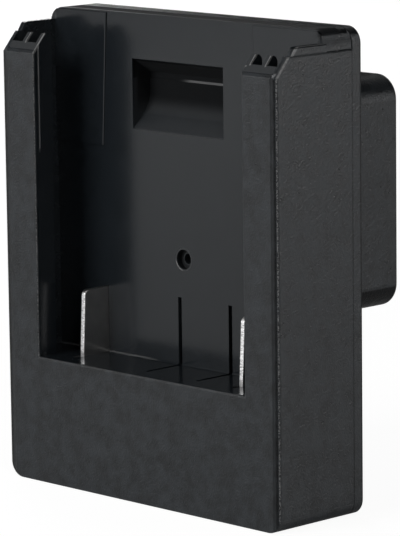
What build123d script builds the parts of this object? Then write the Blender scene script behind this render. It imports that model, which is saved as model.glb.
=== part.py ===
"""Tool battery adapter: a slide-in battery bay in front, a plug-in block behind.

The adapter stands on its bottom face. X runs across it, Y from the battery side
to the back block, Z up. The origin is the middle of the box that holds it, at the
bottom. Places along Y are given as a depth behind the front face.
"""

import os

from build123d import *

os.makedirs("parts", exist_ok=True)

# Overall housing
body_width = 80.7
body_height = 100.0
front_depth = 21.8
cover_depth = 2.8
block_depth = 15.2
corner_radius = 3.4
wall = 2.0
cut_overrun = 1.0
front_edge_radius = 0.5
cover_edge_bevel = 0.3
seam_bevel = 0.1

# Battery bay and its slide rails, with the heights at the top as drops from the top
rail_width = 9.6
space_behind_bay = 7.6
floor_share = 0.2715
floor_bead = 0.3
lip_depth = 5.1
lip_plate = 1.8
rail_outer_wall = 1.25
rail_bay_rib = 0.95
rail_mid_rib = 1.1
rail_rib_radius = 1.4
rail_front_drop = 8.3
lip_top_depth = 3.4
shoulder_drop = 4.4
shoulder_front_depth = 4.4
rail_top_drop = 2.6
rail_top_depth = 5.6
rail_top_radius = 1.0
shoulder_back_depth = 14.4
shoulder_inset = 0.05
crown_inset = 0.1

# Guide pads in the top corners of the bay, and the lead-in step on the rails
pad_centre = -1.5
pad_proud = 0.35
pad_width = 9.15
pad_taper = 1.45
pad_edge_radius = 0.25
pad_drop = 28.5
pad_top_drop = 0.35
lead_in_proud = 0.3
lead_in_depth = 1.45

# Latch pocket: depth behind the bay's back wall, and drops from its own top edge
pocket_centre = -2.1
pocket_width = 27.0
pocket_top_drop = 9.45
pocket_height = 14.85
pocket_depth = 5.4
pocket_ledge = 0.3
pocket_ledge_drop = 4.3
pocket_brow_drop = 3.3
pocket_brow_radius = 1.0
pocket_ramp_drop = 9.75
pocket_ramp_radius = 7.0
pocket_wall = 1.3

# Contacts in the bay: heights are rises from the bay floor
contact_centre = -0.8
blade_inset = 6.9
spare_slot_offsets = (-1.35, 13.55)
spare_slot_width = 1.05
slot_rise = 14.3
slot_front = 4.4
blade_thickness = 1.2
blade_clearance = 0.05
blade_front = 6.7
blade_lean = 0.8
blade_rise = 14.1
blade_reach = 2.4
blade_root_drop = 6.4
blade_root_step = 1.0
blade_corner_radius = 1.2
blade_edge_radius = 0.3

# Retaining screw hole through the bay wall and the back block
bore_rise = 22.4
bore_radius = 1.1
counterbore_radius = 2.1
counterbore_depth = 1.3
column_radius = 3.2

# Back block on the rear cover
block_side_step = 4.15
block_rise = 13.45
block_top_drop = 11.4
block_corner_radius = 5.0
block_edge_radius = 1.0
tongue_height = 1.4
tongue_thickness = 1.0
tongue_clearance = 0.1
output_inset = 17.2
output_share = 0.6
output_slot_width = 3.0
output_slot_height = 13.0
output_slot_bevel = 0.6

# Housing screws, put in from the back at the four corners
screw_side_inset = 7.35
screw_low = 8.0
screw_top_drop = 6.8
screw_head_radius = 2.4
screw_head_height = 1.5
screw_head_bevel = 0.4
screw_shank_radius = 1.25
screw_length = 8.0
screw_hole_radius = 1.5
screw_recess_radius = 2.6
screw_recess_depth = 1.6
screw_column_radius = 3.0
screw_cross = (2.8, 0.7, 0.8)
thread_clearance = 0.05
tip_clearance = 0.3

# Small screws, for the circuit board and the blade carrier
small_head_radius = 1.9
small_head_height = 1.2
small_head_bevel = 0.35
small_shank_radius = 0.95
small_length = 6.0
small_cross = (2.2, 0.5, 0.6)
post_radius = 2.6

# Circuit board, held on posts inside the back block
board_side_inset = 5.2
board_gap = 1.85
board_top_gap = 3.2
board_thickness = 1.6
board_recess = 3.0
board_corner_radius = 1.5
board_hole_radius = 1.1
board_screw_inset_x = 3.5
board_screw_inset_z = 3.6

# Parts on the board: sizes, and places as X and as shares of the board's height
left_column = -9.0
right_column = 8.0
fuse_size = (11.0, 3.2, 4.0)
fuse_share = 0.44
fuse_cap = 1.8
fuse_cap_proud = 0.2
transistor_size = (6.5, 2.3, 6.1)
transistor_tab = (5.2, 0.6, 1.4)
transistor_leg = (0.8, 0.5, 2.4)
transistor_leg_spread = 4.6
transistor_shares = (0.47, 0.83)
chip_size = (5.0, 1.5, 5.0)
chip_share = 0.8
chip_leg = (6.8, 0.25, 0.4)
chip_leg_pitch = 1.2
chip_leg_count = 4
shunt_size = (6.4, 0.8, 3.2)
shunt_share = 0.21
inductor_width = 11.0
inductor_depth = 6.0
inductor_height_share = 0.357
inductor_gap = 2.0
inductor_corner = 2.5
inductor_core_radius = 3.8
inductor_core_recess = 0.4
capacitor_radius = 4.0
capacitor_depth = 7.0
capacitor_spread = 9.4
capacitor_gap = 0.4

# Blade carrier under the bay floor, busbars behind its back wall
carrier_side = 5.15
carrier_front = 5.2
carrier_height = 8.0
carrier_corner_radius = 1.0
ear_width = 6.4
ear_thickness = 3.0
ear_hole_inset = 3.1
busbar_width = 5.0
busbar_thickness = 0.8
busbar_rise = 2.4
busbar_turn_share = 0.37
busbar_bend_radius = 1.4

# Output clips and the block that holds them behind the output slots
clip_thickness = 0.6
clip_height = 10.0
clip_half_base = 1.8
clip_half_pinch = 0.75
clip_half_mouth = 1.3
clip_pinch_share = 0.7
clip_end_gap = 0.5
contact_block_side = 4.0
contact_block_depth = 4.0
contact_block_height = 13.4
contact_block_clearance = 0.3

# Derived widths and depths
total_depth = front_depth + cover_depth + block_depth
front_y = -total_depth / 2
half_width = body_width / 2
half_bay = half_width - rail_width
bay_width = 2 * half_bay
half_inside = half_width - rail_outer_wall
half_crown = half_width - crown_inset
pad_half_gap = half_bay - pad_width
bay_depth = front_depth - space_behind_bay
pad_face = bay_depth - pad_proud
bay_wall_back = bay_depth + wall
cover_back = front_depth + cover_depth
block_inside_back = total_depth - wall
block_width = body_width - 2 * block_side_step
inside_radius = corner_radius - wall
screw_spread = body_width - 2 * screw_side_inset
board_width = block_width - 2 * board_side_inset
board_front = front_depth + board_recess
board_back = board_front + board_thickness
blade_offset = half_bay - blade_inset
blade_tail = bay_wall_back + blade_reach
blade_slot_width = blade_thickness + 2 * blade_clearance
blade_xs = [contact_centre - blade_offset, contact_centre + blade_offset]
spare_xs = [contact_centre + offset for offset in spare_slot_offsets]
carrier_width = 2 * (blade_offset + carrier_side)
ear_screw_x = carrier_width / 2 + ear_width - ear_hole_inset
output_offset = block_width / 2 - output_inset
pilot_radius = screw_shank_radius + thread_clearance
small_pilot_radius = small_shank_radius + thread_clearance

# Derived heights
bay_top = body_height + cut_overrun
floor_height = floor_share * body_height
carrier_top = floor_height - wall
ear_screw_z = carrier_top - carrier_height / 2
slot_top = floor_height + slot_rise
blade_top = floor_height + blade_rise
bore_height = floor_height + bore_rise
bore_place = (contact_centre, bore_height)
block_bottom = floor_height + block_rise
block_top = body_height - block_top_drop
rail_front_height = body_height - rail_front_drop
shoulder_height = body_height - shoulder_drop
rail_top_height = body_height - rail_top_drop
pad_bottom = body_height - pad_drop
pocket_top = body_height - pocket_top_drop
pocket_bottom = pocket_top - pocket_height
screw_high = body_height - screw_top_drop
board_bottom = bore_height + column_radius + board_gap
board_top = block_top - board_top_gap
board_height = board_top - board_bottom
output_height = block_bottom + output_share * (block_top - block_bottom)


def y_at(depth):
    """The Y of a place that lies this far behind the front face."""
    return front_y + depth


def facing(depth):
    """A plane that looks out of the front, this far behind it: X across, Z up."""
    return Plane.XZ.offset(-y_at(depth))


def save(part, name):
    """Label one finished piece and write it under its own name."""
    part.label = name
    export_step(part, f"parts/{name}.step")


def slab(x, depth, z, size, mode=Mode.ADD):
    """A box of width, depth and height: centred at x, from a depth and a height on."""
    with Locations((x, y_at(depth), z)):
        Box(*size, align=(Align.CENTER, Align.MIN, Align.MIN), mode=mode)


def rounded_plate(depth, thickness, width, low, high, radius, mode=Mode.ADD):
    """A plate with four rounded corners, from a depth towards the back."""
    with BuildSketch(facing(depth)) as outline:
        with Locations((0, (low + high) / 2)):
            RectangleRounded(width, high - low, radius)
    extrude(outline.sketch, amount=-thickness, mode=mode)


def discs(places, depth, length, radius, mode=Mode.ADD):
    """Round columns or holes along Y, from a depth towards the back."""
    with BuildSketch(facing(depth)) as outline:
        with Locations(*places):
            Circle(radius)
    extrude(outline.sketch, amount=-length, mode=mode)


def side_profile(points, x, half_length, mode=Mode.ADD, roundings=()):
    """A profile of depths and heights, drawn at x and drawn out both ways along X.

    roundings gives a radius to the corners at a height.
    """
    with BuildSketch(Plane.YZ.offset(x)) as outline:
        with BuildLine():
            Polyline(*[(y_at(depth), height) for depth, height in points], close=True)
        make_face()
        for height, radius in roundings:
            fillet(vertices().filter_by_position(Axis.Y, height, height), radius)
    extrude(outline.sketch, amount=half_length, both=True, mode=mode)


def corner_places(heights=(screw_low, screw_high)):
    """The housing screws at these heights, as X and Z."""
    return [(side * screw_spread / 2, z) for side in (-1, 1) for z in heights]


def board_places():
    """The four board screws, as X and Z."""
    return [
        (side * (board_width / 2 - board_screw_inset_x), z)
        for side in (-1, 1)
        for z in (board_bottom + board_screw_inset_z, board_top - board_screw_inset_z)
    ]


def carrier_places():
    """The two carrier screws, as X and Z."""
    return [(contact_centre + side * ear_screw_x, ear_screw_z) for side in (-1, 1)]


def output_xs():
    """The two outputs' places across the back block."""
    return [-output_offset, output_offset]


# Front housing: the battery bay, its rails and the shell behind them

with BuildPart() as front_housing:
    # The body rises to the shoulder line, and the crown behind the pads to the top
    with BuildSketch(facing(0)):
        with Locations((0, shoulder_height / 2)):
            Rectangle(body_width, shoulder_height)
        fillet(vertices().group_by(Axis.Y)[0], corner_radius)
    extrude(amount=-front_depth)
    with BuildSketch(facing(pad_face)):
        with Locations((0, (shoulder_height + body_height) / 2)):
            Rectangle(2 * half_crown, body_height - shoulder_height)
        fillet(vertices().group_by(Axis.Y)[-1], corner_radius)
    extrude(amount=-(front_depth - pad_face))

    # The pads' top edges lie a little lower than the rest of the crown
    pad_top = body_height - pad_top_drop
    pad_cut = (body_width, pad_proud + cut_overrun, pad_top_drop + cut_overrun)
    slab(0, pad_face - cut_overrun, pad_top, pad_cut, Mode.SUBTRACT)

    # The bay opens in front and on top, down to its floor
    bay_size = (bay_width, pad_face + cut_overrun, bay_top - floor_height)
    slab(0, -cut_overrun, floor_height, bay_size, Mode.SUBTRACT)

    # Behind each lip runs a groove for the battery's flange, and the lip is a plate on ribs
    hollow = (half_inside - half_bay - rail_bay_rib - rail_mid_rib) / 2
    for side in (-1, 1):
        groove_x = side * (half_inside + half_bay) / 2
        groove_size = (half_inside - half_bay, pad_face - lip_depth, bay_top - floor_height)
        slab(groove_x, lip_depth, floor_height, groove_size, Mode.SUBTRACT)
        for start in (half_bay + rail_bay_rib, half_inside - hollow):
            hollow_size = (hollow, lip_depth - lip_plate, bay_top - floor_height)
            slab(side * (start + hollow / 2), lip_plate, floor_height, hollow_size, Mode.SUBTRACT)

    # The back wall stands deeper than the guide pads, which taper out downwards
    with BuildSketch(facing(pad_face)):
        with BuildLine():
            Polyline(
                (half_inside, floor_height),
                (half_inside, pad_bottom),
                (pad_centre + pad_half_gap + pad_taper, pad_bottom),
                (pad_centre + pad_half_gap, bay_top),
                (pad_centre - pad_half_gap, bay_top),
                (pad_centre - pad_half_gap - pad_taper, pad_bottom),
                (-half_inside, pad_bottom),
                (-half_inside, floor_height),
                close=True,
            )
        make_face()
    extrude(amount=-pad_proud, mode=Mode.SUBTRACT)
    pad_edges = (
        edges()
        .filter_by_position(Axis.Y, y_at(pad_face), y_at(pad_face))
        .filter_by_position(Axis.Z, pad_bottom, pad_top, (False, False))
        .filter_by_position(Axis.X, -half_bay, half_bay)
    )
    fillet(pad_edges, pad_edge_radius)

    # A small bead fills the corner between the bay's floor and its back wall
    bead = [
        (bay_depth, floor_height),
        (bay_depth - floor_bead, floor_height),
        (bay_depth, floor_height + floor_bead),
    ]
    side_profile(bead, 0, half_inside)

    # A thin step on each lip's bay side leads the battery in between the pads
    for side in (-1, 1):
        step_size = (lead_in_proud, lip_depth - lead_in_depth, shoulder_height - pad_bottom)
        slab(side * (half_bay - lead_in_proud / 2), lead_in_depth, pad_bottom, step_size)

    # The rails' noses slope back to the lip's top, and the ribs round off behind it
    nose = [(0, rail_front_height), (lip_top_depth, shoulder_height), (0, shoulder_height)]
    side_profile(nose, 0, half_width, Mode.SUBTRACT)
    rib_edges = (
        edges()
        .filter_by(Axis.X)
        .filter_by_position(Axis.Y, y_at(lip_depth), y_at(lip_depth))
        .filter_by_position(Axis.Z, shoulder_height, shoulder_height)
    )
    fillet(rib_edges, rail_rib_radius)

    # Soft edges round the whole front face and up the outside of both noses
    front_edges = faces().sort_by(Axis.Y)[0].edges()
    nose_edges = (
        edges()
        .filter_by_position(Axis.Z, rail_front_height, shoulder_height, (False, False))
        .filter_by_position(Axis.Y, front_y, y_at(lip_top_depth), (False, False))
        .group_by(Axis.X)
    )
    fillet(front_edges + nose_edges[0] + nose_edges[-1], front_edge_radius)

    # The outer rail walls step up beyond the lip and run back past the pads
    shoulder_thickness = rail_outer_wall - shoulder_inset
    shoulder = [
        (shoulder_front_depth, shoulder_height),
        (rail_top_depth, rail_top_height),
        (shoulder_back_depth, rail_top_height),
        (shoulder_back_depth, shoulder_height),
    ]
    for side in (-1, 1):
        shoulder_x = side * (half_inside + shoulder_thickness / 2)
        top_rounding = [(rail_top_height, rail_top_radius)]
        side_profile(shoulder, shoulder_x, shoulder_thickness / 2, roundings=top_rounding)

    # The shell is open to the back: a low chamber under the bay, a thin one behind it
    low_chamber = (body_width - 2 * wall, wall, carrier_top, inside_radius)
    rounded_plate(wall, front_depth - wall, *low_chamber, Mode.SUBTRACT)
    back_chamber = (2 * (half_crown - wall), wall, body_height - wall, inside_radius)
    rounded_plate(bay_wall_back, front_depth - bay_wall_back, *back_chamber, Mode.SUBTRACT)

    # The latch pocket has its own walls behind the bay wall
    pocket_shell = (
        pocket_width + 2 * pocket_wall,
        pocket_depth + pocket_wall,
        pocket_top - pocket_bottom + 2 * pocket_wall,
    )
    slab(pocket_centre, bay_depth, pocket_bottom - pocket_wall, pocket_shell)
    pocket_back = bay_depth + pocket_depth
    ramp_back = pocket_back - pocket_ledge
    ramp_height = pocket_top - pocket_ramp_drop
    ledge_height = pocket_top - pocket_ledge_drop
    brow_height = pocket_top - pocket_brow_drop
    pocket = [
        (bay_depth, pocket_bottom),
        (ramp_back, ramp_height),
        (ramp_back, ledge_height - pocket_ledge),
        (pocket_back, ledge_height),
        (pocket_back, brow_height),
        (bay_depth, pocket_top),
    ]
    pocket_roundings = [(ramp_height, pocket_ramp_radius), (brow_height, pocket_brow_radius)]
    half_pocket = pocket_width / 2
    side_profile(pocket, pocket_centre, half_pocket, Mode.SUBTRACT, pocket_roundings)

    # Columns for the housing screws, the retaining screw and the carrier screws
    discs(corner_places((screw_low,)), wall, front_depth - wall, screw_column_radius)
    discs(corner_places((screw_high,)), bay_depth, front_depth - bay_depth, screw_column_radius)
    pilot_end = cover_back - screw_recess_depth - screw_length - tip_clearance
    discs(corner_places(), pilot_end, front_depth - pilot_end, pilot_radius, Mode.SUBTRACT)
    discs(carrier_places(), wall, carrier_front - wall, post_radius)
    small_pilot_end = carrier_front + ear_thickness - small_length - tip_clearance
    small_pilot = carrier_front - small_pilot_end
    discs(carrier_places(), small_pilot_end, small_pilot, small_pilot_radius, Mode.SUBTRACT)
    discs([bore_place], bay_depth, front_depth - bay_depth, column_radius)
    discs([bore_place], bay_depth, front_depth - bay_depth, bore_radius, Mode.SUBTRACT)
    discs([bore_place], bay_depth, counterbore_depth, counterbore_radius, Mode.SUBTRACT)

    # Narrow slots for the two blades and for two contacts that this model leaves out
    slots = [(x, blade_slot_width) for x in blade_xs] + [(x, spare_slot_width) for x in spare_xs]
    for x, width in slots:
        wall_slot = (width, wall + floor_bead, slot_top - floor_height)
        floor_slot = (width, bay_wall_back - slot_front, wall)
        slab(x, bay_depth - floor_bead, floor_height, wall_slot, Mode.SUBTRACT)
        slab(x, slot_front, carrier_top, floor_slot, Mode.SUBTRACT)

save(front_housing.part, "front_housing")

# Rear cover: the back plate and the hollow block that plugs into the appliance

with BuildPart() as rear_cover:
    rounded_plate(front_depth, cover_depth, body_width, 0, body_height, corner_radius)
    chamfer(faces().sort_by(Axis.Y)[0].edges(), seam_bevel)
    chamfer(faces().sort_by(Axis.Y)[-1].edges(), cover_edge_bevel)
    block = (block_width, block_bottom, block_top, block_corner_radius)
    rounded_plate(cover_back, block_depth, *block)
    fillet(faces().sort_by(Axis.Y)[-1].edges(), block_edge_radius)
    block_inside = (
        block_width - 2 * wall,
        block_bottom + wall,
        block_top - wall,
        block_corner_radius - wall,
    )
    rounded_plate(front_depth, block_inside_back - front_depth, *block_inside, Mode.SUBTRACT)

    # A tongue all round sits inside the front housing's back chamber
    tongue_width = 2 * (half_crown - wall - tongue_clearance)
    tongue_low = wall + tongue_clearance
    tongue_high = body_height - wall - tongue_clearance
    with BuildSketch(facing(front_depth)):
        with Locations((0, (tongue_low + tongue_high) / 2)):
            RectangleRounded(tongue_width, tongue_high - tongue_low, inside_radius)
            Rectangle(
                tongue_width - 2 * tongue_thickness,
                tongue_high - tongue_low - 2 * tongue_thickness,
                mode=Mode.SUBTRACT,
            )
    extrude(amount=tongue_height)

    # The retaining screw's column, and the posts that carry the circuit board
    column_length = block_inside_back - front_depth
    discs([bore_place], front_depth, column_length, column_radius)
    discs([bore_place], front_depth, total_depth - front_depth, bore_radius, Mode.SUBTRACT)
    discs(board_places(), board_back, block_inside_back - board_back, post_radius)
    post_pilot = small_length - board_thickness + tip_clearance
    discs(board_places(), board_back, post_pilot, small_pilot_radius, Mode.SUBTRACT)

    # Slots for the output blades, bevelled at the mouth
    for x in output_xs():
        slot_size = (output_slot_width, wall, output_slot_height)
        slab(x, block_inside_back, output_height - output_slot_height / 2, slot_size, Mode.SUBTRACT)
    mouth_edges = faces().sort_by(Axis.Y)[-1].inner_wires().edges().filter_by(GeomType.LINE)
    chamfer(mouth_edges, output_slot_bevel)

    # Counterbored holes for the housing screws
    discs(corner_places(), front_depth, cover_depth, screw_hole_radius, Mode.SUBTRACT)
    recess_start = cover_back - screw_recess_depth
    discs(corner_places(), recess_start, screw_recess_depth, screw_recess_radius, Mode.SUBTRACT)

save(rear_cover.part, "rear_cover")


def make_blade(x, name):
    """One flat terminal: its front stands in the bay, its root goes through the floor."""
    with BuildPart() as blade:
        with BuildSketch(Plane.YZ.offset(x)):
            with BuildLine():
                Polyline(
                    (y_at(blade_front + blade_lean), blade_top),
                    (y_at(blade_tail), blade_top),
                    (y_at(blade_tail), carrier_top - blade_root_drop),
                    (y_at(blade_front + blade_root_step), carrier_top - blade_root_drop),
                    (y_at(blade_front + blade_root_step), carrier_top),
                    (y_at(blade_front), carrier_top),
                    close=True,
                )
            make_face()
            fillet(vertices().group_by(Axis.Y)[-1].sort_by(Axis.X)[0], blade_corner_radius)
        extrude(amount=blade_thickness / 2, both=True)
        nose = faces().sort_by(Axis.Y)[:1]
        crown = faces().filter_by_position(Axis.Z, blade_top, blade_top)
        fillet((nose + crown).edges().filter_by(Axis.X, reverse=True), blade_edge_radius)
    save(blade.part, name)


make_blade(blade_xs[0], "positive_blade")
make_blade(blade_xs[1], "negative_blade")

# Blade carrier: the moulded block under the bay floor that grips the blades' roots

with BuildPart() as blade_carrier:
    carrier_low = carrier_top - carrier_height
    carrier_size = (carrier_width, blade_tail - carrier_front, carrier_height)
    slab(contact_centre, carrier_front, carrier_low, carrier_size)
    fillet(edges().filter_by(Axis.Z), carrier_corner_radius)
    ears = (carrier_width + 2 * ear_width, ear_thickness, carrier_height)
    slab(contact_centre, carrier_front, carrier_low, ears)
    discs(carrier_places(), carrier_front, ear_thickness, board_hole_radius, Mode.SUBTRACT)
    for x in blade_xs:
        grip_front = blade_front + blade_root_step - blade_clearance
        grip_low = carrier_top - blade_root_drop - blade_clearance
        grip = (blade_slot_width, blade_tail - grip_front, carrier_top - grip_low)
        slab(x, grip_front, grip_low, grip, Mode.SUBTRACT)
    for x in spare_xs:
        spare = (spare_slot_width, bay_wall_back - slot_front, blade_root_drop)
        slab(x, slot_front, carrier_top - blade_root_drop, spare, Mode.SUBTRACT)

save(blade_carrier.part, "blade_carrier")


def make_busbar(x, name):
    """A bent strip from a blade's tail up behind the bay wall and back to the board."""
    with BuildPart() as busbar:
        strip_middle = blade_tail + busbar_thickness / 2
        turn_height = board_bottom + busbar_turn_share * board_height
        with BuildSketch(Plane.YZ.offset(x)):
            with BuildLine():
                FilletPolyline(
                    (y_at(strip_middle), floor_height + busbar_rise),
                    (y_at(strip_middle), turn_height),
                    (y_at(board_front), turn_height),
                    radius=busbar_bend_radius,
                )
            trace(line_width=busbar_thickness)
        extrude(amount=busbar_width / 2, both=True)
    save(busbar.part, name)


make_busbar(blade_xs[0], "positive_busbar")
make_busbar(blade_xs[1], "negative_busbar")

# Circuit board and what is soldered to it

with BuildPart() as circuit_board:
    rounded_plate(
        board_front, board_thickness, board_width, board_bottom, board_top, board_corner_radius
    )
    discs(board_places(), board_front, board_thickness, board_hole_radius, Mode.SUBTRACT)

save(circuit_board.part, "circuit_board")


def on_board(x, share, size, along=0, up=0):
    """A box on the board's front face, at x and at a share of the board's height.

    along and up move it from there by lengths.
    """
    z = board_bottom + share * board_height + up
    slab(x + along, board_front - size[1], z - size[2] / 2, size)


with BuildPart() as fuse:
    on_board(left_column, fuse_share, fuse_size)
    for side in (-1, 1):
        cap = (fuse_cap, fuse_size[1] + fuse_cap_proud, fuse_size[2] + 2 * fuse_cap_proud)
        on_board(left_column, fuse_share, cap, along=side * (fuse_size[0] - fuse_cap) / 2)

save(fuse.part, "fuse")

with BuildPart() as power_transistors:
    tab_rise = (transistor_size[2] + transistor_tab[2]) / 2
    leg_drop = (transistor_size[2] + transistor_leg[2]) / 2
    for share in transistor_shares:
        on_board(right_column, share, transistor_size)
        on_board(right_column, share, transistor_tab, up=tab_rise)
        for side in (-1, 1):
            leg_side = side * transistor_leg_spread / 2
            on_board(right_column, share, transistor_leg, leg_side, -leg_drop)

save(power_transistors.part, "power_transistors")

with BuildPart() as control_chip:
    on_board(left_column, chip_share, chip_size)
    middle_leg = (chip_leg_count - 1) / 2
    for leg in range(chip_leg_count):
        on_board(left_column, chip_share, chip_leg, up=(leg - middle_leg) * chip_leg_pitch)

save(control_chip.part, "control_chip")

with BuildPart() as current_shunt:
    on_board(left_column, shunt_share, shunt_size)

save(current_shunt.part, "current_shunt")

with BuildPart() as inductor:
    inductor_low = board_bottom + capacitor_gap + 2 * capacitor_radius + inductor_gap
    inductor_height = inductor_height_share * board_height
    slab(0, board_back, inductor_low, (inductor_width, inductor_depth, inductor_height))
    chamfer(edges().filter_by(Axis.Y), inductor_corner)
    recess_start = board_back + inductor_depth - inductor_core_recess
    core = [(0, inductor_low + inductor_height / 2)]
    discs(core, recess_start, inductor_core_recess, inductor_core_radius, Mode.SUBTRACT)

save(inductor.part, "inductor")

with BuildPart() as filter_capacitors:
    can_height = board_bottom + capacitor_gap + capacitor_radius
    cans = [(side * capacitor_spread / 2, can_height) for side in (-1, 1)]
    discs(cans, board_back, capacitor_depth, capacitor_radius)

save(filter_capacitors.part, "filter_capacitors")


def make_clip(x, name):
    """A sprung fork: two leaves that pinch an output blade, on a base on the board."""
    base = board_back + clip_thickness / 2
    mouth = block_inside_back - clip_end_gap
    pinch = base + (mouth - base) * clip_pinch_share
    with BuildPart() as clip:
        with BuildSketch(Plane.XY.offset(output_height - clip_height / 2)):
            with BuildLine():
                Polyline(
                    (x - clip_half_mouth, y_at(mouth)),
                    (x - clip_half_pinch, y_at(pinch)),
                    (x - clip_half_base, y_at(base)),
                    (x + clip_half_base, y_at(base)),
                    (x + clip_half_pinch, y_at(pinch)),
                    (x + clip_half_mouth, y_at(mouth)),
                )
            trace(line_width=clip_thickness)
        extrude(amount=clip_height)
    save(clip.part, name)


make_clip(-output_offset, "positive_output_clip")
make_clip(output_offset, "negative_output_clip")

with BuildPart() as contact_block:
    block_start = block_inside_back - contact_block_depth
    block_low = output_height - contact_block_height / 2
    block_size = (
        2 * (output_offset + contact_block_side),
        contact_block_depth,
        contact_block_height,
    )
    slab(0, block_start, block_low, block_size)
    for x in output_xs():
        window_width = 2 * (clip_half_mouth + clip_thickness + contact_block_clearance)
        window_height = clip_height + 2 * contact_block_clearance
        window = (window_width, contact_block_depth, window_height)
        slab(x, block_start, output_height - window_height / 2, window, Mode.SUBTRACT)

save(contact_block.part, "contact_block")


def make_screws(name, places, seat, towards, head, shank, cross):
    """Screws with bevelled heads as one node: heads on a seat, shanks towards the front or back.

    towards is 1 for shanks that run to the back and -1 for shanks that run forward.
    """
    head_radius, head_height, head_bevel = head
    shank_radius, length = shank
    cross_length, cross_width, cross_depth = cross
    with BuildPart() as screws:
        discs(places, seat, -towards * head_height, head_radius)
        top = faces().filter_by(Plane.XZ).group_by(Axis.Y)[0 if towards > 0 else -1]
        chamfer(top.edges(), head_bevel)
        discs(places, seat, towards * length, shank_radius)
        with BuildSketch(facing(seat - towards * head_height)):
            with Locations(*places):
                Rectangle(cross_length, cross_width)
                Rectangle(cross_width, cross_length)
        extrude(amount=-towards * cross_depth, mode=Mode.SUBTRACT)
    save(screws.part, name)


housing_head = (screw_head_radius, screw_head_height, screw_head_bevel)
housing_shank = (screw_shank_radius, screw_length)
small_head = (small_head_radius, small_head_height, small_head_bevel)
small_shank = (small_shank_radius, small_length)

make_screws(
    "housing_screws",
    corner_places(),
    cover_back - screw_recess_depth,
    -1,
    housing_head,
    housing_shank,
    screw_cross,
)
make_screws(
    "board_screws", board_places(), board_front, 1, small_head, small_shank, small_cross
)
make_screws(
    "carrier_screws",
    carrier_places(),
    carrier_front + ear_thickness,
    -1,
    small_head,
    small_shank,
    small_cross,
)
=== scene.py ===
# %% [markdown]
# A battery adapter for power tools, dressed for the camera. The shapes come from the
# packed model, so this lesson is about what the shapes alone can't say: what the
# plastic and the metal are like, and how a photographer lights something black.

# %% Load the model
import math

import bpy
from mathutils import Matrix, Vector


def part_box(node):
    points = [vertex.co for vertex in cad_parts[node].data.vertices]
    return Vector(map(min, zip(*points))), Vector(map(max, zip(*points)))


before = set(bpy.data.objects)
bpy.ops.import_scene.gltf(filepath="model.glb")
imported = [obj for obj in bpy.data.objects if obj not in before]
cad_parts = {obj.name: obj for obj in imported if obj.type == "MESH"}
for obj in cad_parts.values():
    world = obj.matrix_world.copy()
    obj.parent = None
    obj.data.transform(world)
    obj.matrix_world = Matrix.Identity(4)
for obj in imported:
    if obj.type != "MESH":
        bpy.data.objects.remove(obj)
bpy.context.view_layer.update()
bpy.ops.object.select_all(action="DESELECT")
millimetre = 0.001

# %% [markdown]
# The camera stands to the right of the adapter and a little above it, far away with
# a long lens, which is how small products are photographed. It could be placed by
# eye, but a camera that is worked out from a direction and a distance can be turned
# a tenth of a degree at a time until the corners of the object fall in place.

# %% Camera
camera_azimuth = math.radians(45.82)
camera_elevation = math.radians(9.54)
camera_roll = math.radians(-0.723)
camera_distance = 751.96 * millimetre
camera_aim = Vector((0, -5.9 * millimetre, 55 * millimetre))
camera_slide = (2.734 * millimetre, -5.888 * millimetre)
focal_pixels = 3627.35
sensor_width = 36
principal_point = (198.66, 262.61)
frame_size = (400, 536)


def camera_axes(azimuth, elevation, roll):
    """The camera's right, up and backward directions."""
    backward = Vector(
        (
            math.sin(azimuth) * math.cos(elevation),
            -math.cos(azimuth) * math.cos(elevation),
            math.sin(elevation),
        )
    )
    level = Vector((math.cos(azimuth), math.sin(azimuth), 0))
    upright = backward.cross(level)
    right = math.cos(roll) * level + math.sin(roll) * upright
    up = math.cos(roll) * upright - math.sin(roll) * level
    return right, up, backward


def standing_at(place, axes):
    """The matrix of something that stands at a place and has these axes."""
    return Matrix.Translation(place) @ Matrix(axes).transposed().to_4x4()


right, up, backward = camera_axes(camera_azimuth, camera_elevation, camera_roll)
eye = camera_aim + camera_slide[0] * right + camera_slide[1] * up + camera_distance * backward
camera = bpy.data.objects.new("camera", bpy.data.cameras.new("camera"))
camera.matrix_world = standing_at(eye, (right, up, backward))
camera.data.sensor_width = sensor_width
camera.data.lens = focal_pixels / frame_size[1] * camera.data.sensor_width
camera.data.shift_x = (frame_size[0] / 2 - principal_point[0]) / frame_size[1]
camera.data.shift_y = (principal_point[1] - frame_size[1] / 2) / frame_size[1]
bpy.context.scene.collection.objects.link(camera)
bpy.context.scene.camera = camera
print("lens", round(camera.data.lens, 1), "eye", [round(c, 3) for c in eye])

# %% [markdown]
# Shader maths gets long when every sum is a node that is placed by hand. A small
# class can wrap a socket and overload the arithmetic signs, so that a mask reads
# like a formula.


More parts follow.
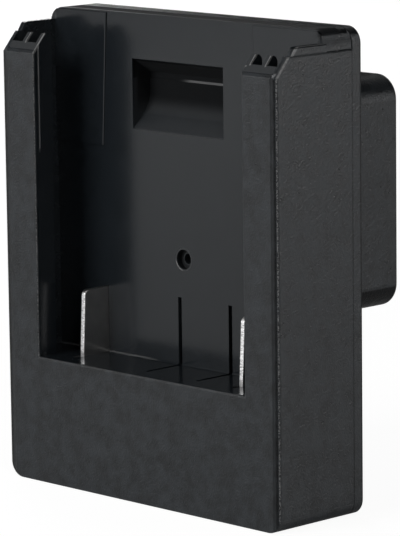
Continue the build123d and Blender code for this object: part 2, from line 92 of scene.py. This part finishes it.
# %% Shader maths
class Wire:
    """A socket of one node tree, with the arithmetic signs that add Math nodes."""

    def __init__(self, nodes, socket):
        self.nodes = nodes
        self.socket = socket

    def math(self, operation, *others):
        """This value and others through one Math node."""
        inputs = dict(enumerate((self, *others)))
        return self.nodes.add("ShaderNodeMath", {"operation": operation}, inputs)

    def __add__(self, other):
        return self.math("ADD", other)

    def __sub__(self, other):
        return self.math("SUBTRACT", other)

    def __rsub__(self, other):
        return (self * -1) + other

    def __mul__(self, other):
        return self.math("MULTIPLY", other)

    def __truediv__(self, other):
        return self.math("DIVIDE", other)

    def __abs__(self):
        return self.math("ABSOLUTE")

    def most(self, other):
        """The larger of two values."""
        return self.math("MAXIMUM", other)

    def step(self, low, high):
        """0 below low, 1 above high, and smooth between them."""
        settings = {"interpolation_type": "SMOOTHSTEP"}
        inputs = {"Value": self, "From Min": low, "From Max": high}
        return self.nodes.add("ShaderNodeMapRange", settings, inputs)

    def below(self, low, high):
        """1 below low, 0 above high, and smooth between them."""
        return 1 - self.step(low, high)

    def near(self, middle, solid, gone):
        """1 within a solid distance of a middle, 0 where that distance is gone."""
        return abs(self - middle).below(solid, gone)

    __radd__ = __add__
    __rmul__ = __mul__


print("a wire has", ", ".join(name for name in vars(Wire) if not name.startswith("_")))

# %% [markdown]
# Nodes could be added where they are needed, with three or four lines for each. One
# method that takes a node's settings and inputs does it in one line, in a material
# and in the world alike. A paint is a material with the few nodes that every surface
# needs: its own coordinates, a noise, a mix of two colours and a relief.


# %% Nodes and paints
class Nodes:
    """A node tree and the one method that adds to it."""

    def __init__(self, tree):
        self.tree = tree

    def feed(self, socket, value):
        """Links a wire to a socket, or sets the socket to a plain value."""
        if isinstance(value, Wire):
            self.tree.links.new(value.socket, socket)
        else:
            socket.default_value = value

    def add(self, kind, settings=None, inputs=None, output=0):
        """Any node: its settings first, then its sockets' values or links."""
        made = self.tree.nodes.new(kind)
        for name, value in (settings or {}).items():
            setattr(made, name, value)
        for name, value in (inputs or {}).items():
            self.feed(made.inputs[name], value)
        return Wire(self, made.outputs[output])


class Paint(Nodes):
    """One material: its x, y and z are in millimetres."""

    def __init__(self, name, **fixed):
        self.material = bpy.data.materials.new(name)
        self.material.use_nodes = True
        super().__init__(self.material.node_tree)
        self.shader = self.tree.nodes["Principled BSDF"]
        for socket, value in fixed.items():
            self.set(socket, value)
        self.place = self.add("ShaderNodeTexCoord", output="Object")
        split = self.add("ShaderNodeSeparateXYZ", inputs={0: self.place}).socket.node
        self.x, self.y, self.z = (Wire(self, axis) / millimetre for axis in split.outputs)

    def noise(self, size, detail=2.0, stretch=(1, 1, 1), roughness=0.5):
        """Soft noise from 0 to 1, its features about this size in millimetres."""
        mapping = {"Vector": self.place, "Scale": stretch}
        inputs = {
            "Vector": self.add("ShaderNodeMapping", None, mapping),
            "Scale": 1 / (size * millimetre),
            "Detail": detail,
            "Roughness": roughness,
        }
        return self.add("ShaderNodeTexNoise", None, inputs)

    def mix(self, share, first, second):
        """A colour between two colours."""
        share_socket, first_socket, second_socket, colour_output = 0, 6, 7, 2
        inputs = {share_socket: share, first_socket: first, second_socket: second}
        return self.add("ShaderNodeMix", {"data_type": "RGBA"}, inputs, colour_output)

    def set(self, socket, value):
        """Feeds one of the shader's own sockets."""
        self.feed(self.shader.inputs[socket], value)

    def bump(self, height, depth):
        """Surface relief from a height, where 1 is this depth in millimetres."""
        inputs = {"Height": height, "Distance": depth * millimetre}
        self.set("Normal", self.add("ShaderNodeBump", None, inputs))


print("a paint has", ", ".join(name for name in vars(Paint) if not name.startswith("_")))

# %% [markdown]
# Almost everything here is black, white or metal, so a colour is mostly a level of
# grey that leans a little to the warm or the cool side. A material that is finished
# is put on all the nodes that are made of it at once, so that they can't differ.


# %% Colours and dressing
def grey(level, warmth=0.0):
    """A near-neutral colour: above 0 is warmer and below 0 is cooler."""
    return (level * (1 + warmth), level, level * (1 - warmth), 1)


def dress(paint, *names):
    """Gives CAD nodes this material."""
    for name in names:
        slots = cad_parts[name].data.materials
        slots.clear()
        slots.append(paint.material)
    print(paint.material.name, "on", ", ".join(names))

# %% [markdown]
# The housing is black glass-filled nylon. Outside, the mould was spark-eroded, which
# leaves a fine even grain that turns every highlight into a soft glow. Inside the bay
# the mould is polished, because a battery slides there, and the wall mirrors the dark
# rail beside it. Two materials could share the work, but it is one moulding, so one
# material with a mask for the bay is closer to the truth.
#
# Every mask on the housing is cut from a distance in millimetres. Height is counted
# from the underside, depth from the front face, and inward from the nearer side face.

# %% Places on the housing
front_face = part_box("front_housing")[0].y / millimetre
half_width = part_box("front_housing")[1].x / millimetre
front_part_depth = 21.8
housing_depth = 24.6
rail_inside = 30.75
nose_foot = 91.7
bay_half_width = 39.05
bay_floor = 27.15
bay_start, bay_wall, bay_end = 0.45, 14.2, 19.7


class HousingPaint(Paint):
    """A paint that knows where it is on the housing."""

    def __init__(self, name, **fixed):
        super().__init__(name, **fixed)
        self.depth = self.y - front_face
        self.inward = half_width - abs(self.x)
        self.above_nose_foot = self.z - nose_foot
        self.on_front_part = self.depth.below(front_part_depth - 0.1, front_part_depth + 0.1)
        self.above_floor = self.z.step(bay_floor - 0.15, bay_floor)
        in_width = abs(self.x).below(bay_half_width, bay_half_width + 0.1)
        behind_front = self.depth.step(bay_start, bay_start + 0.15)
        before_end = self.depth.below(bay_end, bay_end + 0.1)
        self.in_bay = in_width * behind_front * before_end * self.above_floor


plastic = HousingPaint("housing_plastic", IOR=1.5)
masks = {}
print("front face at", round(front_face, 2), "side faces at", round(half_width, 2))

# %% [markdown]
# A moulded edge is never sharp. The model has small roundings, and they could be made
# larger, but that would move its outline. The relief leaves the outline alone and
# bends the light over a wider strip: the height falls with the square of the distance,
# as on a round edge. The crown begins above a ledge, which is higher beside the bay
# than behind it, and a hair line runs along the lower part.

# %% Rounded edges
edge_reach, crown_reach = 1.1, 2.2
ledge_height, ledge_rise, ledge_end = 95.5, 1.5, 14.6
line_width, line_depth = 0.2, 0.08


def crown_mask(paint):
    """1 on the crown, which begins above the ledge."""
    crown_foot = ledge_height + ledge_rise * paint.depth.below(ledge_end - 0.1, ledge_end + 0.1)
    return (paint.z - crown_foot).step(0.0, 0.25)


def fall_of_edges(paint):
    """How far the rounded edges fall back, in millimetres."""
    side = (edge_reach - paint.inward).most(0.0)
    front = (edge_reach - paint.depth).most(0.0) * paint.inward.below(1.0, 2.0)
    crown = (crown_reach - paint.inward).most(0.0) * crown_mask(paint) * paint.on_front_part
    edges = (side * side + front * front) / (2 * edge_reach)
    return edges + crown * crown / (2 * crown_reach)


def ledge_line(paint):
    """The hair line along the ledge, on the side faces of the front part."""
    line = (1 - abs(paint.z - ledge_height) / line_width).most(0.0)
    return line * paint.inward.below(0.1, 0.3) * paint.on_front_part


edge_relief = fall_of_edges(plastic) + ledge_line(plastic) * line_depth
print("edges bend over", edge_reach, "mm, and the crown's over", crown_reach, "mm")

# %% [markdown]
# The small rounded edges catch the lamps as thin bright lines, and these are painted
# highlights in a pale grey: on the noses of the rails and the edges of their ribs, on
# the near front edges, on the rails' inner edges and lead-in lines, and on the sill.
# They could be painted by hand on an image, but a mask that is cut from distances is
# sharp at any size. A fine noise breaks them up into glints. The last two numbers of
# each mask say where its fade begins and where it ends.

# %% Painted highlights on the rails
slope_rise, slope_run = 0.754, 0.657
shoulder_height, shoulder_setback = 3.9, 0.65
rib_edges_and_feet = ((-34.85, 1.7), (-30.75, -0.3), (31.7, 1.7), (35.95, 1.7))
lead_in_depth = 1.45
pad_foot = 71.5
glint_size = 0.3


def highlights_on_noses(paint, glints):
    """Painted highlights on the sloping noses and the edges of their ribs."""
    above_foot = paint.above_nose_foot
    setback = above_foot.step(shoulder_height - 0.05, shoulder_height) * shoulder_setback
    under_slope = paint.depth * slope_rise - above_foot * slope_run - setback
    slope = under_slope.below(0.45, 0.75) * above_foot.step(-0.3, 0.1)
    slope = slope * paint.inward.below(0.05, 0.2)
    ribs = sum(
        paint.x.near(rib_edge, 0.12, 0.28) * above_foot.step(rib_foot, rib_foot + 0.4)
        for rib_edge, rib_foot in rib_edges_and_feet
    )
    return {"slope": slope * (0.5 + glints * 0.5), "ribs": ribs * under_slope.below(0.3, 0.5)}


def highlights_on_rails(paint, glints):
    """Painted highlights: the rails' inner edges, the line beside each pad, the sill."""
    on_rail = abs(paint.x).near(rail_inside, 0.15, 0.3) * paint.above_floor
    beside_pad = paint.z.step(pad_foot - 1, pad_foot)
    between_rails = abs(paint.x).below(rail_inside, 1.01 * rail_inside)
    return {
        "rim": on_rail * paint.depth.below(0.15, 0.35) * glints,
        "lead_in": on_rail * paint.depth.near(lead_in_depth, 0.05, 0.2) * beside_pad,
        "sill": paint.z.near(bay_floor, 0.1, 0.25) * paint.depth.below(0.1, 0.3) * between_rails,
    }


glints = plastic.noise(glint_size, detail=1.0).step(0.42, 0.6)
# painted glints of highlight along the near front edges
masks["corner"] = plastic.inward.below(0.08, 0.2) * plastic.depth.below(0.35, 0.65) * glints
masks.update(highlights_on_noses(plastic, glints))
masks.update(highlights_on_rails(plastic, glints))
# all the masks so far are painted highlights
print("worn:", ", ".join(masks))

# %% [markdown]
# The hole for the retaining screw sits in a recess. The moulding has a small lip round
# it, and its catch of the light at the lower left is a painted highlight; the recess
# gets painted shade but for the rim of the hole. The lip could be a thin ring of its
# own, but it is a third of a millimetre wide, and at that size a paler mask looks the same.

# %% Retaining hole
bore_x, bore_height = -0.8, 49.55
bore_radius, recess_radius = 1.1, 2.1
# how strong the lip's painted highlight is, all round and at its lower left
lip_all_round, lip_at_lower_left = 0.06, 0.6


def from_bore(paint):
    """The distance from the hole's axis."""
    to_right, to_top = paint.x - bore_x, paint.z - bore_height
    return (to_right * to_right + to_top * to_top).math("SQRT")


def recess_lip(paint):
    """Painted highlight on the ring of bay wall just outside the recess."""
    beyond = from_bore(paint) - recess_radius
    ring = beyond.step(0.0, 0.1) * beyond.below(0.25, 0.45)
    to_lower_left = bore_x + bore_height - paint.x - paint.z
    return ring * paint.in_bay * (lip_all_round + lip_at_lower_left * to_lower_left.step(2.3, 3.1))


def recess_shade(paint):
    """Painted shade in the recess, apart from the rim of the hole."""
    radius = from_bore(paint)
    recess = radius.below(recess_radius, recess_radius + 0.05)
    recess = recess * radius.step(bore_radius + 0.15, bore_radius + 0.3)
    return recess * paint.depth.step(bay_wall + 0.3, bay_wall + 0.5) * paint.in_bay


masks["lip"] = recess_lip(plastic)
masks["recess"] = recess_shade(plastic)
print("retaining hole", bore_radius, "mm in radius, its recess", recess_radius, "mm")

# %% [markdown]
# The catch of the battery drops into the latch pocket, which has a curved ramp, a
# small step above it and a sloping brow. The step's one bright line is a painted
# highlight, and what lies above the ramp's bend and on the brow gets painted shade. A
# lamp could be shaded to keep its light out of the pocket, but then the walls round it
# would darken too, so the pocket has masks.

# %% Latch pocket
ramp_bend, ramp_top = 77.8, 82.7
step_depth, step_height, step_start, step_fade = 4.9, 86.1, -7, 4
brow_foot = 86.3


def pocket_places(paint):
    """The whole pocket, painted shade on its upper part and brow, and a painted highlight on its
    step.
    """
    behind_wall = paint.depth - bay_wall
    pocket = behind_wall.step(0.1, 0.4) * paint.in_bay
    step = behind_wall.step(step_depth, step_depth + 0.2) * paint.z.near(step_height, 0.15, 0.3)
    return {
        "pocket": pocket,
        "deep": behind_wall.step(0.5, 2.0) * paint.z.step(ramp_bend, ramp_top) * paint.in_bay,
        "brow": pocket * paint.z.step(brow_foot, brow_foot + 0.2),
        "step": step * paint.x.step(step_start, step_start + step_fade) * paint.in_bay,
    }


masks.update(pocket_places(plastic))
print("pocket dark above", ramp_top, "mm, its step at", step_height, "mm")

# %% [markdown]
# Some places give back almost no light. The parting line between the two mouldings is
# a dark joint. The rest is painted shade: a shadow line at the back edge, the underside
# of the block, the turn of an edge between two bright faces and the crown's corner, as
# well as the recess and the pocket's upper part, and the whole block a little. A black
# colour alone wouldn't do, because plastic mirrors the lamps whatever its colour is.
# Black metal mirrors almost nothing, so these masks go to Metallic and pull the colour
# to black.

# %% Painted shade and dark seams
block_bend = 44.8
crown_bottom, crown_top, body_top = 97.9, 99.9, 100
# the depth of the painted shadow line at the back edge
back_shadow_line = housing_depth - 0.4


def dark_turns(paint):
    """Painted shade on the strips beside the front edge and on the crown's corner."""
    corner = paint.inward.step(0.15, 0.35) * paint.inward.below(0.85, 1.15)
    below_nose = paint.above_nose_foot.below(-0.3, 0.0)
    crown = paint.z.step(crown_bottom, crown_bottom + 1) * paint.z.below(crown_top, body_top)
    return {
        "corner_turn": corner * paint.depth.below(0.2, 0.35) * below_nose,
        "crown_turn": crown * crown_mask(paint) * paint.inward.below(1.2, 3.0),
    }


def dark_seams_and_shade(paint):
    """The parting line, a painted shadow line at the back edge, the block darkened a little, and
    painted shade under it.
    """
    block = paint.depth.step(housing_depth + 0.05, housing_depth + 0.15)
    return {
        "parting": paint.depth.near(front_part_depth, 0.12, 0.24),
        "back_shadow_line": paint.depth.near(back_shadow_line, 0.15, 0.3),
        "block": block,
        "under_block": block * paint.z.below(block_bend, block_bend + 0.5),
    }


masks.update(dark_turns(plastic))
masks.update(dark_seams_and_shade(plastic))
print("masks:", ", ".join(masks))

# %% [markdown]
# Now the plastic can be put together. Each mask has a level, and where masks meet the
# strongest one wins, because a sum would burn out where two edges cross. The painted
# highlights pull the colour to a pale grey, and the painted shade pulls it to black.
# Two soft noises mottle the colour and the roughness, and a finer one gives the grain.

# %% Black housing plastic
cloud_size, patch_size, grain_size, fleck_size = 4.0, 1.6, 0.45, 0.5
cloud_share, patch_share = 0.6, 0.4
bay_evenness, bay_patch, bay_smoothness = 0.8, 0.4, 0.9
grain_depth = 0.1
darkest, palest = grey(0.0075, -0.2), grey(0.018, -0.2)
# pale grey for the painted highlights, near black for the painted shade
highlight_grey, unlit = grey(0.17), grey(0.002)
rough_outside, patch_roughness, fleck_shine, corner_shine = 0.28, 0.14, 0.07, 0.18
rough_bay, cloud_roughness, pocket_roughness, deep_roughness = 0.15, 0.06, 0.35, 0.45
# how strong each painted highlight is
highlight_levels = {
    "corner": 0.7, "slope": 1.0, "ribs": 1.0, "rim": 0.7, "lead_in": 0.6, "sill": 0.5,
    "step": 0.6, "lip": 1.0,
}
# how strong each painted shade is; the parting line is a dark joint
shade_levels = {
    "deep": 0.6, "brow": 0.6, "recess": 0.45, "parting": 0.4, "back_shadow_line": 0.6,
    "block": 0.13, "under_block": 0.72, "corner_turn": 0.5, "crown_turn": 0.5,
}


def strongest(masks, levels):
    """The largest of several masks, each at its own level."""
    largest = 0
    for name, level in levels.items():
        largest = (masks[name] * level).most(largest)
    return largest


def finish_plastic(paint):
    """Black plastic: grained outside and smooth in the bay."""
    grain = paint.noise(grain_size, detail=3.0, roughness=0.6)
    cloud = paint.noise(cloud_size, detail=3.0, roughness=0.6)
    patches = cloud * cloud_share + paint.noise(patch_size) * patch_share
    patches = patches.step(0.36, 0.64) * (1 - paint.in_bay * bay_evenness)
    patches = patches + paint.in_bay * bay_patch
    fleck = paint.noise(fleck_size, detail=1.0).step(0.66, 0.78)
    plain = paint.mix(patches, darkest, palest)
    # the painted highlights lighten the colour towards a pale grey
    highlighted = paint.mix(strongest(masks, highlight_levels), plain, highlight_grey)
    # painted shade: black, and Metallic so that it mirrors almost nothing; the step keeps its
    # painted highlight
    shade = strongest(masks, shade_levels) * (1 - masks["step"])
    paint.set("Base Color", paint.mix(shade, highlighted, unlit))
    paint.set("Metallic", shade)
    shiny_corner = paint.inward.below(0.3, 0.7) * paint.depth.below(0.3, 0.7)
    outside = rough_outside + patches * patch_roughness
    outside = outside - fleck * fleck_shine - shiny_corner * corner_shine
    inside = rough_bay + cloud * cloud_roughness
    inside = inside + masks["pocket"] * pocket_roughness + masks["deep"] * deep_roughness
    paint.set("Roughness", outside * (1 - paint.in_bay) + inside * paint.in_bay)
    relief = grain * (1 - paint.in_bay * bay_smoothness) * grain_depth
    paint.bump(relief - edge_relief, 1.0)


finish_plastic(plastic)
dress(plastic, "front_housing", "rear_cover")

# %% [markdown]
# The terminals are flat blades of plated copper. They were sheared from a strip, so
# their faces are drawn smooth along the strip and their cut edges are bright, with the
# marks of the shears across them. Each line could be modelled, but noise that is
# stretched along one direction gives the drawn lines and the marks alike.

# %% Blades
blade_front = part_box("positive_blade")[0].y / millimetre
blade_lean = 0.8 / 14.1
line_size, stain_size, tooth_size = 0.5, 3.0, 0.35
along_blade, across_blade = (1, 1, 0.06), (0.3, 0.3, 1)
relief_height, tooth_height = 0.01, 3
stained, clean = grey(0.42, 0.03), grey(0.62, 0.02)
dull_tooth, bright_tooth = grey(0.5), grey(1.0)
rough_blade, line_roughness, cut_roughness = 0.24, 0.16, 0.2


def blade_metal():
    """Plating with lines along the blade and teeth along its sheared edge."""
    paint = Paint("blade_metal", Metallic=1.0)
    lines = paint.noise(line_size, detail=2.0, stretch=along_blade)
    teeth = paint.noise(tooth_size, detail=1.0, stretch=across_blade).step(0.3, 0.6)
    from_edge = paint.y - blade_front - (paint.z - bay_floor) * blade_lean
    cut_edge = from_edge.below(0.1, 0.25)
    above_foot = paint.z.step(bay_floor + 0.4, bay_floor + 1.4)
    flat_face = paint.mix(paint.noise(stain_size), stained, clean)
    sheared = paint.mix(teeth * above_foot, dull_tooth, bright_tooth)
    paint.set("Base Color", paint.mix(cut_edge, flat_face, sheared))
    paint.set("Roughness", rough_blade + lines * line_roughness + cut_edge * cut_roughness)
    paint.bump(lines + teeth * cut_edge * tooth_height, relief_height)
    return paint


dress(blade_metal(), "positive_blade", "negative_blade")

# %% [markdown]
# Most of the other metal is hidden inside, and only the heads of the housing screws
# show, at the back. Rolled strip has faint lines and a little tarnish, and a screw is
# worn bright where a driver has turned it. Each metal could have a recipe of its own,
# but they differ only in two colours and a roughness, so one recipe takes a table.

# %% Strips and screws
strip_line_size, tarnish_size = 0.4, 4.0
along_strip = (1, 1, 0.05)
strip_roughness, strip_relief = 0.15, 0.008
# material, light colour, dark colour, roughness, nodes
strips = (
    ("busbar_copper", (0.78, 0.4, 0.25, 1), (0.45, 0.2, 0.11, 1), 0.25,
     ("positive_busbar", "negative_busbar")),
    ("clip_metal", (0.8, 0.68, 0.38, 1), (0.55, 0.42, 0.2, 1), 0.2,
     ("positive_output_clip", "negative_output_clip")),
    ("shunt_metal", grey(0.5, 0.04), grey(0.35, 0.06), 0.3, ("current_shunt",)),
    ("can_aluminium", grey(0.82), grey(0.7), 0.25, ("filter_capacitors",)),
)
screw_wear_size, screw_grain_size = 0.8, 0.25
blackened, bared = grey(0.09), grey(0.3, 0.02)
rough_screw, screw_wear_shine = 0.42, 0.14


def strip_metal(name, light, dark, roughness):
    """Rolled strip: faint lines along Z and a little tarnish."""
    paint = Paint(name, Metallic=1.0)
    lines = paint.noise(strip_line_size, detail=2.0, stretch=along_strip)
    tarnish = paint.noise(tarnish_size, detail=3.0).step(0.35, 0.7)
    paint.set("Base Color", paint.mix(tarnish, light, dark))
    paint.set("Roughness", roughness + lines * strip_roughness)
    paint.bump(lines, strip_relief)
    return paint


def screw_steel():
    """Blackened steel, bared where a driver has turned it."""
    paint = Paint("screw_steel", Metallic=1.0)
    wear = paint.noise(screw_wear_size, detail=3.0).step(0.5, 0.75)
    paint.set("Base Color", paint.mix(wear, blackened, bared))
    paint.set("Roughness", rough_screw - wear * screw_wear_shine)
    paint.bump(paint.noise(screw_grain_size), relief_height)
    return paint


for name, light, dark, roughness, nodes in strips:
    dress(strip_metal(name, light, dark, roughness), *nodes)
dress(screw_steel(), "housing_screws", "board_screws", "carrier_screws")

# %% [markdown]
# Everything else is inside: the carrier and the contact block are plain mouldings, and
# the board and its parts have the finishes that such parts come in. No photo shows
# them, so they get one simple recipe with a slight mottle and no marks of use.

# %% Inner parts
mottle_size, mottle_roughness, moulding_grain_size = 1.6, 0.1, 0.3
# material, dark colour, light colour, roughness, nodes
mouldings = (
    ("carrier_plastic", grey(0.009), grey(0.014), 0.42, ("blade_carrier", "contact_block")),
    ("board_green", (0.01, 0.075, 0.03, 1), (0.015, 0.1, 0.045, 1), 0.3, ("circuit_board",)),
    ("fuse_body", grey(0.68, 0.05), grey(0.8, 0.05), 0.35, ("fuse",)),
    ("chip_black", grey(0.012), grey(0.02), 0.5, ("control_chip", "power_transistors")),
    ("ferrite_grey", grey(0.03), grey(0.055), 0.55, ("inductor",)),
)


def moulding(name, dark, light, roughness):
    """A plain moulded or pressed surface with a slight mottle."""
    paint = Paint(name)
    mottle = paint.noise(mottle_size, detail=3.0)
    paint.set("Base Color", paint.mix(mottle, dark, light))
    paint.set("Roughness", roughness + mottle * mottle_roughness)
    paint.bump(paint.noise(moulding_grain_size), relief_height)
    return paint


for name, dark, light, roughness, nodes in mouldings:
    dress(moulding(name, dark, light, roughness), *nodes)

# %% [markdown]
# The room round the adapter could be a photo of a studio. A plain surround is enough:
# it is dim to the adapter, so that black stays black, and white to the camera.

# %% World
world_level = 0.02


def build_world():
    """A dim surround that is white to the camera."""
    world = bpy.data.worlds.new("studio")
    world.use_nodes = True
    bpy.context.scene.world = world
    studio = Nodes(world.node_tree)
    seen = studio.add("ShaderNodeLightPath", output="Is Camera Ray")
    seen_through = studio.add("ShaderNodeLightPath", output="Is Transmission Ray")
    levels = {"Factor": seen.most(seen_through), "A": world_level, "B": 1.0}
    surround = world.node_tree.nodes["Background"]
    studio.feed(surround.inputs["Color"], (1, 1, 1, 1))
    studio.feed(surround.inputs["Strength"], studio.add("ShaderNodeMix", None, levels))
    return world


print("world", build_world().name, "at", world_level)

# %% [markdown]
# Black plastic shows almost nothing of its own: what the eye sees is the room in its
# surface. So the studio has large softboxes all round, and each of them is there for
# the face that mirrors it. Two are small: a strip that lights the near edge, and a
# spot for the slope of the right nose. Fewer lamps could light it, but then some faces
# would mirror only the dim surround.

# %% Softboxes
lamp_distance = 1.2
# name, azimuth and elevation in degrees, width and height in metres, strength
softboxes = (
    ("front_high", -10, 24, 0.6, 0.35, 13.2),
    ("front_left", -34, 7, 0.42, 0.35, 1.5),
    ("far_left", -70, 9, 0.42, 0.4, 1.8),
    ("left_high", -60, 52, 0.7, 0.7, 0.5),
    ("right_low", 60, 9, 0.42, 0.4, 1.9),
    ("right_back", 120, 7, 0.42, 0.35, 6.5),
    ("back_left", 240, 12, 0.42, 0.45, 5.4),
    ("back", 200, 24, 0.6, 0.35, 0.6),
    ("edge_strip", 92, 2, 0.14, 0.5, 2.0),
    ("slope_spot", 63, 45, 0.25, 0.25, 9.0),
)


def softbox(name, azimuth, elevation, width, height, strength):
    """A rectangular lamp that points at the adapter and is seen only in reflections."""
    lamp = bpy.data.lights.new(name, "AREA")
    lamp.shape = "RECTANGLE"
    lamp.size = width
    lamp.size_y = height
    lamp.energy = strength * math.pi * width * height
    axes = camera_axes(math.radians(azimuth), math.radians(elevation), 0)
    holder = bpy.data.objects.new(name, lamp)
    holder.matrix_world = standing_at(camera_aim + lamp_distance * axes[2], axes)
    holder.visible_camera = False
    bpy.context.scene.collection.objects.link(holder)


for lamp_plan in softboxes:
    softbox(*lamp_plan)

# %% [markdown]
# The floor is a large pale sheet, as a photographer lays one under a product. It could
# be lit until it is white, but that light would also wash over the black plastic. So
# it glows by itself, to the camera only, until it melts into the white surround, and
# it still takes the adapter's soft shadow.

# %% Floor
floor_size = 6
floor_patch_size, floor_roughness = 200.0, 0.9
floor_glow = 0.85
floor_glow_strength = 1.1


def pale_floor():
    """A white sheet that keeps the shadow."""
    bpy.ops.mesh.primitive_plane_add(size=floor_size)
    floor = bpy.context.object
    floor.name = "floor"
    paint = Paint("floor_sheet")
    paint.set("Base Color", paint.mix(paint.noise(floor_patch_size), grey(0.8), grey(0.84)))
    paint.set("Roughness", floor_roughness)
    seen = paint.add("ShaderNodeLightPath", output="Is Camera Ray")
    white = {"Color": (1, 1, 1, 1), "Strength": floor_glow_strength}
    glow = paint.add("ShaderNodeEmission", None, white)
    plain = Wire(paint, paint.shader.outputs[0])
    blend = paint.add("ShaderNodeMixShader", None, {0: seen * floor_glow, 1: plain, 2: glow})
    paint.feed(paint.tree.nodes["Material Output"].inputs["Surface"], blend)
    floor.data.materials.append(paint.material)
    return floor


print("floor", pale_floor().name)
bpy.context.scene.view_settings.view_transform = "Standard"

# %% [markdown]
